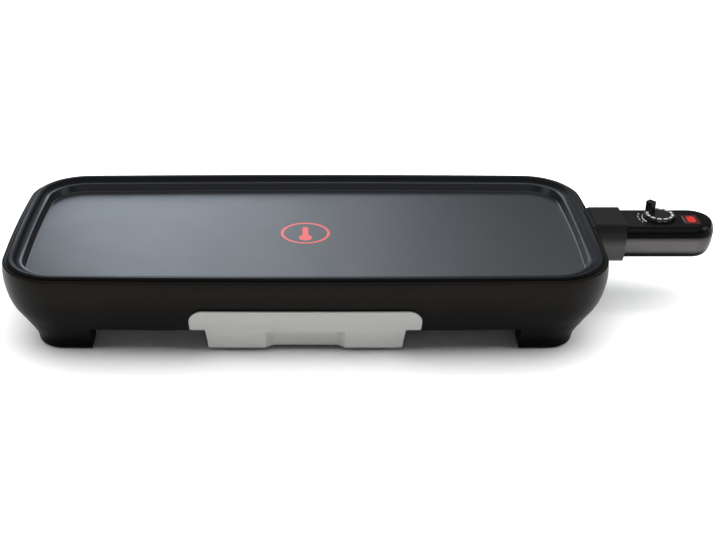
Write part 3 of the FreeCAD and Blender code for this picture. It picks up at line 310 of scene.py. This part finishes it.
body_plastic = moulded("body_plastic", warm_black, 0.34, mirror=0.09, painted_shade=painted_shade_low_on_the_base)
case_plastic = moulded(
    "case_plastic",
    deep_black,
    0.16,
    depth=0.000003,
    mirror=0.22,
    painted_shade=painted_shade_on_the_upper_case_edge,
)
smoke_plastic = moulded("smoke_plastic", smoke_brown, 0.24, mirror=0.8, painted_shade=painted_shade_on_the_lower_case_edges)
collar_plastic = moulded("collar_plastic", collar_grey, 0.34, painted_shade=painted_shade_on_the_collar_top)
dial_plastic = moulded("dial_plastic", deep_black, 0.22, depth=0.000004)
tray_plastic = moulded("tray_plastic", soft_black, 0.55)
runner_plastic = moulded("runner_plastic", runner_grey, 0.50)
heatproof_plastic = moulded("heatproof_plastic", resin_brown, 0.62, grain=0.0008, depth=0.00003)
pad_rubber = moulded("pad_rubber", rubber_black, 0.78, grain=0.0006, depth=0.00004)
print("plastics and rubbers:", len(bpy.data.materials) - materials_before)

# %% [markdown]
# ## The coated cooking plate
# The plate is die-cast aluminium under a dark non-stick coating. The coating is satin, with a faint sparkle
# of mineral flakes, and slightly wavy where it was sprayed. On both sides of the lip's crest it gets painted
# shade: a blacker colour that mirrors almost nothing. The lip could get a material of its own, but it is
# one casting with the basin, so a mask finds it: how far a point lies inside the plate's outline.
#
# In the middle sits a heat indicator, a red print that changes tone as the plate warms: here a plain ring
# round a small thermometer. It could be painted on a picture, but distances in the plane of the plate give
# it sharp edges at any size.

# %% The heat indicator
indicator_radius = 0.0215
indicator_line = 0.0024
stem_half = 0.0026
stem_top = 0.0125
bulb_drop = 0.0095
bulb_radius = 0.0058
print_soft = 0.0003
floor_least_depth = 0.008
floor_most_depth = 0.013
floor_soft = 0.0005


def indicator(x, y, z):
    """1 on the basin's floor, on a ring round the middle, near a point (the bulb) or near a line (the stem).

    A point's place on the line is its own height there, kept between the line's ends.
    """
    far = distance(x, y)
    inside = far.below(indicator_radius, print_soft)
    ring = inside * far.above(indicator_radius - indicator_line, print_soft)
    bulb = distance(x, y + bulb_drop).below(bulb_radius, print_soft)
    on_the_line = y.at_least(-bulb_drop).at_most(stem_top - stem_half)
    stem = distance(x, y - on_the_line).below(stem_half, print_soft)
    under_top = z.below(plate_high.z - floor_least_depth, floor_soft)
    over_bottom = z.above(plate_high.z - floor_most_depth, floor_soft)
    return (ring + bulb + stem).above(0.5, 0.4) * under_top * over_bottom


# %% The distance from the plate's edge
plate_round = 0.0447
side_bow = 0.0025
end_bow = 0.0016


def from_edge(x, y):
    """How far a point lies inside the plate's outline, a rectangle with round corners and bowed sides.

    The half length shrinks by the end's bow times the square of y over the half width, and the half width
    does so in the same way. The depth is the corner's round minus the distance past the round's middle.
    """
    half_x = plate_high.x - plate_middle.x
    half_y = plate_high.y - plate_middle.y
    bowed_x = half_x - (y * y) * (end_bow / half_y**2)
    bowed_y = half_y - (x * x) * (side_bow / half_x**2)
    past_x = (x.absolute() - bowed_x + plate_round).at_least(0)
    past_y = (y.absolute() - bowed_y + plate_round).at_least(0)
    return plate_round - distance(past_x, past_y)


# %% The plate's coating
coating_dark = (0.010, 0.011, 0.013)
coating_flake = (0.075, 0.080, 0.090)
# painted shade on the lip: a darker coat
painted_shade_dark = (0.0030, 0.0033, 0.0038)
painted_shade_flake = (0.02, 0.02, 0.02)
print_red = (0.42, 0.030, 0.022)
flake_size = 0.0007
flake_level = 0.68
flake_soft = 0.06
crest_start = 0.0020
crest_start_soft = 0.0012
crest_end = 0.0042
crest_end_soft = 0.0016
crest_share = 0.35
basin_start = 0.0118
basin_soft = 0.0016


def plate_coating():
    """Satin on the basin, and painted shade on the lip: a blacker matt coat. The satin's share is 0.35 of
    the crest, plus the basin.
    """
    finish = Finish("plate_coating")
    x, y, z = finish.axes()
    x = x - plate_middle.x
    y = y - plate_middle.y
    flakes = finish.noise(flake_size, 2.0).above(flake_level, flake_soft)
    satin = finish.mix(flakes * 0.35, coating_dark, coating_flake)
    colour = finish.mix(indicator(x, y, z), satin, print_red)
    gloss = 0.30 + (finish.noise(0.03, 2.0) - 0.5) * 0.06
    spray = finish.bump(finish.noise(0.0022, 2.0), 0.000012)
    grain = finish.bump(finish.noise(0.0005, 2.0), 0.000008, spray)
    inside = finish.shader(colour, gloss, grain)
    # painted shade: the lip's coat is darker and mirrors little
    shaded_coat = finish.mix(flakes * 0.2, painted_shade_dark, painted_shade_flake)
    shaded_lip = finish.shader(shaded_coat, 0.42, grain, specular_ior_level=0.06)
    inset = from_edge(x, y)
    crest = inset.above(crest_start, crest_start_soft) * inset.below(crest_end, crest_end_soft)
    basin = inset.above(basin_start, basin_soft)
    return finish.blend(crest * crest_share + basin, shaded_lip, inside)


coating = plate_coating()
print("plate's size:", [round(v, 4) for v in plate_high - plate_low])

# %% [markdown]
# ## Silver lacquer
# The tray front is plastic with a silver-grey lacquer. Lacquer of this kind holds tiny metal flakes, so it
# is part metal and part grey paint, with a soft clear coat over it. A plain grey metal would be simpler,
# but it would turn black wherever it mirrors the dark room. Towards its foot the lacquer gets painted light:
# its colour is made lighter there, where the shadow under the base falls on it.

# %% The tray front's lacquer
lacquer_dark = (0.27, 0.27, 0.265)
lacquer_light = (0.56, 0.56, 0.545)


def silver_lacquer():
    """The light lacquer's share is half the flakes plus 0.95 times 1 minus the height, less 0.04. The part
    from the height is painted light, lighter towards the foot.

    The flakes are a very fine noise, and the height runs from 0 at the foot to 1 at the top.
    """
    finish = Finish("silver_lacquer")
    low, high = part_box("tray_front")
    x, y, z = finish.axes()
    flakes = finish.noise(0.0004, 2.0)
    height = (z - low.z) / (high.z - low.z)
    # painted light: the foot is made lighter, where the shadow under the base falls
    share = flakes * 0.5 + (1 - height) * 0.95 - 0.04
    colour = finish.mix(share, lacquer_dark, lacquer_light)
    gloss = 0.30 + (flakes - 0.5) * 0.10
    normal = finish.bump(flakes, 0.000008)
    return finish.surface(colour, gloss, normal, metallic=0.35, coat_weight=0.15, coat_roughness=0.25)


silver = silver_lacquer()

# %% [markdown]
# ## Metals, ceramic and lenses
# Underneath are plainer stuffs: zinc-plated screws, a dull element tube that has oxidised, a bright rolled
# reflector sheet, plated contacts and unglazed ceramic beads. Rolled sheet and drawn tube have fine streaks
# along one direction. They could be drawn as thin lines, but a noise that is stretched that way gives them
# with the small breaks that real ones have.

# %% Metals
streak_size = 0.0006
streak_depth = 0.000006
stain_size = 0.006


def metal(name, colour, roughness, streak=(1, 1, 1), stain=0.3):
    """Bare metal: the noise of its streaks gives the gloss, and a broader one darkens it by up to stain."""
    finish = Finish(name)
    lines = finish.noise(streak_size, 3.0, 0.6, finish.stretched(streak))
    darker = tuple(c * (1 - stain) for c in colour)
    tone = finish.mix(finish.noise(stain_size, 3.0), darker, colour)
    gloss = roughness + (lines - 0.5) * 0.18
    return finish.surface(tone, gloss, finish.bump(lines, streak_depth), metallic=1.0)


along_x = (0.05, 1, 1)
less_along_x = (0.1, 1, 1)
zinc = metal("zinc", (0.52, 0.52, 0.50), 0.34)
element_tube = metal("element_tube", (0.20, 0.185, 0.165), 0.48, stain=0.5)
reflector_sheet = metal("reflector_sheet", (0.70, 0.71, 0.72), 0.24, streak=along_x)
contact_metal = metal("contact_metal", (0.66, 0.60, 0.44), 0.26)
probe_steel = metal("probe_steel", (0.56, 0.56, 0.55), 0.26, streak=less_along_x)
blade_metal = metal("blade_metal", (0.55, 0.44, 0.26), 0.32)

# %% Ceramic, lens and lamp
# the size of the painted highlight in the lens's middle
bright_middle_half_width = 0.0036
bright_middle_half_length = 0.0060
rib_pitch = 0.0016
# painted shade round the lens's middle, and the painted highlight's red
lens_painted_shade = (0.030, 0.0015, 0.0015)
lens_painted_highlight_red = (0.42, 0.012, 0.006)


def ceramic():
    """Unglazed white, darker and deeper where a fine noise is low."""
    finish = Finish("ceramic")
    pores = finish.noise(0.0005, 3.0)
    tone = finish.mix(pores, (0.62, 0.60, 0.54), (0.78, 0.76, 0.70))
    return finish.surface(tone, 0.75, finish.bump(pores, 0.00003))


def red_lens():
    """Clear red plastic, ribbed inside. Its colour is painted light: a painted highlight in the middle and
    painted shade round it.

    The highlight is a ramp on the fourth power of across plus the fourth power of along.
    """
    finish = Finish("red_lens")
    low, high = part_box("pilot_lens")
    x, y, z = finish.axes()
    across = (x - (low.x + high.x) / 2) / bright_middle_half_width
    along = (y - (low.y + high.y) / 2) / bright_middle_half_length
    bright_middle = (across**4 + along**4).below(1.0, 1.0)
    ribs = (x * (math.tau / rib_pitch)).sine()
    # painted highlight in the middle, painted shade round it
    tone = finish.mix(bright_middle, lens_painted_shade, lens_painted_highlight_red)
    return finish.surface(tone, 0.16, finish.bump(ribs, 0.00004), coat_weight=0.3, coat_roughness=0.05)


def bulb_glass():
    """Thin warm glass that lets most light through."""
    finish = Finish("bulb_glass")
    tone = finish.mix(finish.noise(0.003, 1.0), (0.95, 0.75, 0.60), (1.0, 0.85, 0.72))
    return finish.surface(tone, 0.04, transmission_weight=0.9)


bead_ceramic = ceramic()
lens_plastic = red_lens()
lamp_glass = bulb_glass()
print("finishes so far:", len(bpy.data.materials) - materials_before)

# %% [markdown]
# ## Each piece gets its finish
# The pieces of the frame keep their shapes, so each one only gets the finish that the real one has. A loop
# over parts of names could hand them out, but a plain list shows at a glance what every piece is made of.

# %% Finishes for the frame's pieces
finishes = {
    "base_housing": body_plastic,
    "foot_pad_front_left": pad_rubber,
    "foot_pad_front_right": pad_rubber,
    "foot_pad_rear_left": pad_rubber,
    "foot_pad_rear_right": pad_rubber,
    "tray_runner_left": runner_plastic,
    "tray_runner_right": runner_plastic,
    "runner_screws": zinc,
    "cooking_plate": coating,
    "heating_element": element_tube,
    "terminal_pin_front": contact_metal,
    "terminal_pin_rear": contact_metal,
    "terminal_insulators": bead_ceramic,
    "socket_guard": collar_plastic,
    "guard_screws": zinc,
    "heat_reflector": reflector_sheet,
    "reflector_screws": zinc,
    "drip_tray": tray_plastic,
    "tray_front": silver,
    "thermostat_upper_case": case_plastic,
    "thermostat_lower_case": smoke_plastic,
    "case_screws": zinc,
    "plug_block": heatproof_plastic,
    "contact_socket_front": contact_metal,
    "contact_socket_rear": contact_metal,
    "temperature_probe": probe_steel,
    "switch_body": heatproof_plastic,
    "bimetal_blade": blade_metal,
    "selector_dial": dial_plastic,
    "dial_spindle": probe_steel,
    "pilot_lens": lens_plastic,
    "pilot_lamp": lamp_glass,
    "lamp_holder": runner_plastic,
    "cord_gland": pad_rubber,
}
for node, material in finishes.items():
    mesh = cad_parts[node].data
    mesh.materials.clear()
    mesh.materials.append(material)
print("finished pieces:", len(finishes), "of", len(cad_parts))

# %% [markdown]
# ## Screws with a cross recess
# The screws of the frame are plain pins with a head. The real ones are pan-head thread-forming screws with
# a cross recess. The cross could be cut out with a boolean and the thread wound on as a helix, but such
# cuts leave ragged meshes. One closed surface makes the whole screw instead: a profile turned round its
# axis, with the recess pressed into the rows of the head and the thread lifted on the rows of the shank.

# %% A mesh from a grid of points
weld_gap = 0.000001


def grid_mesh(name, points, capped=False):
    """A mesh from an array of copies x rows x columns x 3, in which the columns go round.

    Each face joins a point, its neighbour in the row and the same two in the next row. Where capped, the
    points of the first row and of the last one make a face as well.
    """
    copies, rows, columns = points.shape[:3]
    row, column = np.meshgrid(np.arange(rows - 1), np.arange(columns), indexing="ij")
    here = row * columns + column
    beside = row * columns + (column + 1) % columns
    faces = np.stack([here, beside, beside + columns, here + columns], -1).reshape(-1, 4)
    if capped:
        first_row = np.arange(columns)
        faces = np.concatenate([faces, [first_row[::-1], first_row + (rows - 1) * columns]])
    faces = faces + np.arange(copies)[:, None, None] * (rows * columns)
    mesh = bpy.data.meshes.new(name)
    mesh.from_pydata(points.reshape(-1, 3).tolist(), [], faces.reshape(-1, 4).tolist())
    return mesh


def weld(mesh):
    """Points that coincide become one, which closes poles and seams, and the faces turn outwards."""
    merged = bmesh.new()
    merged.from_mesh(mesh)
    bmesh.ops.remove_doubles(merged, verts=merged.verts, dist=weld_gap)
    bmesh.ops.dissolve_degenerate(merged, edges=merged.edges, dist=weld_gap)
    bmesh.ops.recalc_face_normals(merged, faces=merged.faces)
    merged.to_mesh(mesh)
    merged.free()


def add_piece(mesh, name, material, body):
    """A finished mesh as a piece that rides on a body."""
    mesh.materials.append(material)
    piece = bpy.data.objects.new(name, mesh)
    bpy.context.scene.collection.objects.link(piece)
    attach(piece, body)
    return piece


# %% The profile of a screw
screw_head_radius = 0.0036
screw_head_height = 0.0022
face_radius = 0.0030
face_dome = 0.00025
rim_rise = 0.0006
thread_radius = 0.00188
thread_core = 0.00150
thread_pitch = 0.00125
tip_length = 0.0014
plain_stretch = 0.0001
face_rows = 22


def screw_profile(length):
    """Radius and height of each row: a domed face, a rounded rim, a straight shank and a cone.

    The face rises by the dome times the square of its share of the radius. The rim follows a quarter turn.
    """
    face = np.linspace(0, face_radius, face_rows)
    quarter = np.linspace(0, math.pi / 2, 6)[1:]
    shank = np.arange(screw_head_height + plain_stretch, length - tip_length, thread_pitch / 8)
    taper = np.linspace(0, 1, 7)
    radius = [
        face,
        face_radius + (screw_head_radius - face_radius) * np.sin(quarter),
        [screw_head_radius, thread_core],
        shank * 0 + thread_core,
        thread_core * (1 - taper),
    ]
    height = [
        face_dome * (face / face_radius) ** 2,
        face_dome + rim_rise * (1 - np.cos(quarter)),
        [screw_head_height, screw_head_height],
        shank,
        length - tip_length + tip_length * taper,
    ]
    return np.concatenate(radius), np.concatenate(height)


# %% One screw as a surface
columns_round = 48
recess_arm = 0.00050
recess_reach = 0.0019
recess_soft = 0.00016
recess_depth = 0.0011


def cross_recess(x, y):
    """1 inside a cross: where the smaller of x and y is under the arm and the larger one under the reach."""
    across = np.minimum(np.abs(x), np.abs(y))
    along = np.maximum(np.abs(x), np.abs(y))
    in_arm = np.clip((recess_arm - across) / recess_soft + 0.5, 0, 1)
    return in_arm * np.clip((recess_reach - along) / recess_soft + 0.5, 0, 1)


def screw_points(x, y, low, high):
    """Rows from the middle of the head, which is at the bottom, up the shank to the tip.

    Across is the radius times the cosine of the angle, and along is the radius times its sine. On the shank
    the radius grows by the thread's height times a wave squared. The wave runs from 1 to 0 and back once in
    each pitch, and moves on with the angle. On the face the height grows by the depth of the recess.
    """
    length = high - low
    radius, height = screw_profile(length)
    turn = np.linspace(0, math.tau, columns_round, endpoint=False)
    radius, angle = np.meshgrid(radius, turn, indexing="ij")
    height = np.repeat(height[:, None], columns_round, 1)
    wave = np.abs(((height / thread_pitch - angle / math.tau) % 1) - 0.5) * 2
    past_head = height > screw_head_height + 2 * plain_stretch
    on_shank = past_head & (height < length - tip_length - plain_stretch)
    radius = np.where(on_shank, radius + (thread_radius - thread_core) * wave**2, radius)
    across, along = radius * np.cos(angle), radius * np.sin(angle)
    on_face = (np.arange(len(radius)) < face_rows)[:, None]
    height = np.where(on_face, height + recess_depth * cross_recess(across, along), height)
    return np.stack([x + across, y + along, low + height], -1)


# %% Screws in their places
def screw_set(node, body):
    """A screw at each corner of the node's box, as one piece that stands for the node."""
    low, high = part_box(node)
    xs = sorted({round(low.x + screw_head_radius, 5), round(high.x - screw_head_radius, 5)})
    ys = sorted({round(low.y + screw_head_radius, 5), round(high.y - screw_head_radius, 5)})
    points = np.stack([screw_points(x, y, low.z, high.z) for x in xs for y in ys])
    name = node.replace("screws", "cross_head_screws")
    mesh = grid_mesh(name, points)
    weld(mesh)
    mesh.shade_smooth()
    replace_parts(add_piece(mesh, name, zinc, body), node)
    print(name + ":", len(points), "screws,", len(mesh.vertices), "points")


screw_set("runner_screws", "base")
screw_set("guard_screws", "plate")
screw_set("reflector_screws", "plate")
screw_set("case_screws", "thermostat")

# %% [markdown]
# ## Prints on the thermostat
# Round the dial the case carries a scale: the numbers 1 to 4 and a wedge that grows with the heat. The dial
# has a pale ring with a gap at each notch. All of it is pad-printed, which leaves a film a few hundredths
# of a millimetre thick. It could be a pattern in the material, but small numbers would blur there, so each
# mark is a thin closed sheet that lies on its surface.

# %% Paint and film
film = 0.00004
dial_disc_height = 0.0037
dial_low, dial_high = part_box("selector_dial")
dial_middle = (dial_low + dial_high) / 2
case_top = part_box("thermostat_upper_case")[1].z
dial_top = case_top + dial_disc_height


def paint(name, colour, roughness):
    """Matt ink, up to 15 per cent darker where a very fine noise is low."""
    finish = Finish(name)
    speckle = finish.noise(0.0002, 2.0)
    tone = finish.mix(speckle, tuple(c * 0.85 for c in colour), colour)
    return finish.surface(tone, roughness, finish.bump(speckle, 0.000004))


def film_strips(inner, outer, angles, level):
    """Points of thin closed strips round the dial's middle, an array of strips x rows x 4 x 3.

    x is the middle plus the radius times the cosine of the angle, and y the same with the sine. Round its
    section a strip goes from the inner radius over the film to the outer one, and back under the film.
    """
    radius = np.stack([inner, inner, outer, outer], -1)
    x = dial_middle.x + radius * np.cos(angles)[..., None]
    y = dial_middle.y + radius * np.sin(angles)[..., None]
    z = level + np.array([0, film, film, 0]) + x * 0
    return np.stack([x, y, z], -1)


pale_paint = paint("pale_paint", (0.42, 0.42, 0.41), 0.45)
print("dial middle:", [round(v, 4) for v in dial_middle], "case top:", round(case_top, 4))

# %% The scale's wedge and the dial's ring
wedge_inner = 0.0146
wedge_outer = 0.0149
wedge_growth = 0.0011
wedge_degrees = (148, 212)
ring_inner = 0.0098
ring_outer = 0.0120
notches = 12
arc_degrees = (4, 26)


def add_print(name, points, body):
    mesh = grid_mesh(name, points, capped=True)
    mesh.shade_smooth()
    return add_piece(mesh, name, pale_paint, body)


angles = np.radians(np.linspace(*wedge_degrees, 41))[None]
outer = wedge_outer + wedge_growth * np.linspace(0, 1, 41)[None]
add_print("scale_wedge", film_strips(outer * 0 + wedge_inner, outer, angles, case_top), "thermostat")

starts = np.arange(notches)[:, None] * (360 / notches)
angles = np.radians(starts + np.linspace(*arc_degrees, 9))
inner = angles * 0 + ring_inner
outer = angles * 0 + ring_outer
add_print("dial_ring", film_strips(inner, outer, angles, dial_top), "dial")

# %% The scale's numbers
number_degrees = {"1": 206, "2": 189, "3": 171, "4": 154}
number_radius = 0.0186
number_size = 0.0042


def printed_number(text, degrees):
    """A number as a flat curve, made a mesh and then moved to its place round the dial."""
    name = "scale_number_" + text
    curve = bpy.data.curves.new(name, "FONT")
    curve.body = text
    curve.size = number_size
    curve.align_x = "CENTER"
    curve.align_y = "CENTER"
    curve.extrude = film / 2
    flat = bpy.data.objects.new(name + "_curve", curve)
    bpy.context.scene.collection.objects.link(flat)
    mesh = bpy.data.meshes.new_from_object(flat.evaluated_get(bpy.context.evaluated_depsgraph_get()))
    bpy.data.objects.remove(flat)
    turn = math.radians(degrees)
    x = dial_middle.x + number_radius * math.cos(turn)
    y = dial_middle.y + number_radius * math.sin(turn)
    mesh.transform(Matrix.Translation((x, y, case_top + film / 2)))
    weld(mesh)
    mesh.shade_flat()
    add_piece(mesh, name, pale_paint, "thermostat")


for text, degrees in number_degrees.items():
    printed_number(text, degrees)
print("prints:", 2 + len(number_degrees))

# %% [markdown]
# ## Floor and light
# The plancha stands on a pale studio floor that the light burns out to white. One picture of a studio could
# light it all, but separate soft lights can be placed where the real ones were. A large one overhead makes
# the soft shadow. Five strips behind, strongest at the left, are what the plate mirrors, and a long narrow
# one above draws a thin bright line. Weak ones in front and at both sides keep the walls readable. The room
# itself is dim, but the camera sees it white, so the floor has no far edge.

# %% Floor
floor_half = 2.3
floor_corners = [(x * floor_half, y * floor_half, 0) for x, y in ((-1, -1), (1, -1), (1, 1), (-1, 1))]
floor_mesh = bpy.data.meshes.new("floor")
floor_mesh.from_pydata(floor_corners, [], [(0, 1, 2, 3)])
floor = bpy.data.objects.new("floor", floor_mesh)
bpy.context.scene.collection.objects.link(floor)
floor_finish = Finish("floor_finish")
floor_tone = floor_finish.mix(floor_finish.noise(0.5), (0.90, 0.90, 0.90), (0.92, 0.92, 0.92))
floor_mesh.materials.append(floor_finish.surface(floor_tone, 0.9))

# %% The room
room_light = 0.045
backdrop = 1.0
world = bpy.data.worlds.new("studio")
world.use_nodes = True
nodes = world.node_tree.nodes
background = nodes["Background"]
background.inputs["Color"].default_value = (1, 1, 1, 1)
light_path = nodes.new("ShaderNodeLightPath")
strength = nodes.new("ShaderNodeMapRange")
strength.inputs["To Min"].default_value = room_light
strength.inputs["To Max"].default_value = backdrop
world.node_tree.links.new(light_path.outputs["Is Camera Ray"], strength.inputs["Value"])
world.node_tree.links.new(strength.outputs["Result"], background.inputs["Strength"])
bpy.context.scene.world = world

# %% Lights
def soft_light(name, middle, target, width, height, brightness, colour=(1, 1, 1), mirrored=True):
    """A flat rectangular light at a point, turned to face another. mirrored says if glossy surfaces show it.

    Its power is its brightness times pi times its area, so it looks as bright at any size.
    """
    data = bpy.data.lights.new(name, "AREA")
    data.shape = "RECTANGLE"
    data.size = width
    data.size_y = height
    data.energy = brightness * math.pi * width * height
    data.color = colour
    light = bpy.data.objects.new(name, data)
    bpy.context.scene.collection.objects.link(light)
    facing = (Vector(target) - Vector(middle)).to_track_quat("-Z", "Y")
    light.matrix_world = Matrix.Translation(middle) @ facing.to_matrix().to_4x4()
    light.visible_glossy = mirrored
    light.visible_camera = False


side_target = (0, -0.1, 0.03)
soft_light("overhead_light", (0, 0.4, 2.3), (0, 0.4, 0), 6.0, 4.0, 2.9, mirrored=False)
soft_light("front_light", (0, -2.6, 1.1), (0, 0, 0), 3.4, 1.5, 0.35)
soft_light("left_light", (-1.8, -0.5, 0.7), side_target, 0.9, 0.9, 1.5)
soft_light("right_light", (1.9, -0.5, 0.7), side_target, 0.9, 0.9, 1.5)
soft_light("line_light", (0, 0.5, 2.2), (0, 0, 0), 2.4, 0.35, 2.5)

# %% Lights behind
back_distance = 2.4
back_target_height = 0.05
back_target_share = 0.3
back_strips = {
    "back_far_left_light": (-0.62, 0.95, 0.42, 1.10, 3.5, (0.80, 0.90, 1.0)),
    "back_left_light": (-0.25, 1.25, 0.34, 1.3, 2.8, (0.82, 0.90, 1.0)),
    "back_middle_light": (0.07, 1.60, 0.30, 1.3, 2.2, (0.85, 0.92, 1.0)),
    "back_right_light": (0.36, 1.85, 0.30, 1.3, 1.35, (0.88, 0.94, 1.0)),
    "back_far_right_light": (0.76, 2.00, 0.50, 1.3, 0.95, (0.92, 0.97, 1.0)),
}
for name, (x, z, width, height, brightness, colour) in back_strips.items():
    target = (x * back_target_share, 0, back_target_height)
    soft_light(name, (x, back_distance, z), target, width, height, brightness, colour)
print("lights:", len(bpy.data.lights))

# %% [markdown]
# ## Camera
# The photograph was taken from in front and above. The view could be matched by eye, but fitting the
# plate's outline gives the distance, the height and the tilt in real units. The object's place in the
# picture comes from shifting the lens a little to the right, which bends no straight line.

# %% Camera
photo_width = 716
focal_pixels = 1320
sensor_width = 36.0
camera_back = 1.047
camera_height = 0.557
camera_tilt = 26.66
plate_pixel = 305.4

camera_data = bpy.data.cameras.new("camera")
camera_data.sensor_width = sensor_width
camera_data.lens = focal_pixels / photo_width * sensor_width
camera_data.shift_x = (photo_width / 2 - plate_pixel) / photo_width
camera_data.clip_start = 0.01
camera = bpy.data.objects.new("camera", camera_data)
bpy.context.scene.collection.objects.link(camera)
camera.location = (plate_middle.x, plate_middle.y - camera_back, camera_height)
camera.rotation_euler = (math.radians(90 - camera_tilt), 0, 0)
bpy.context.scene.camera = camera
bpy.context.scene.view_settings.view_transform = "Standard"
print("lens:", round(camera_data.lens, 1), "mm")
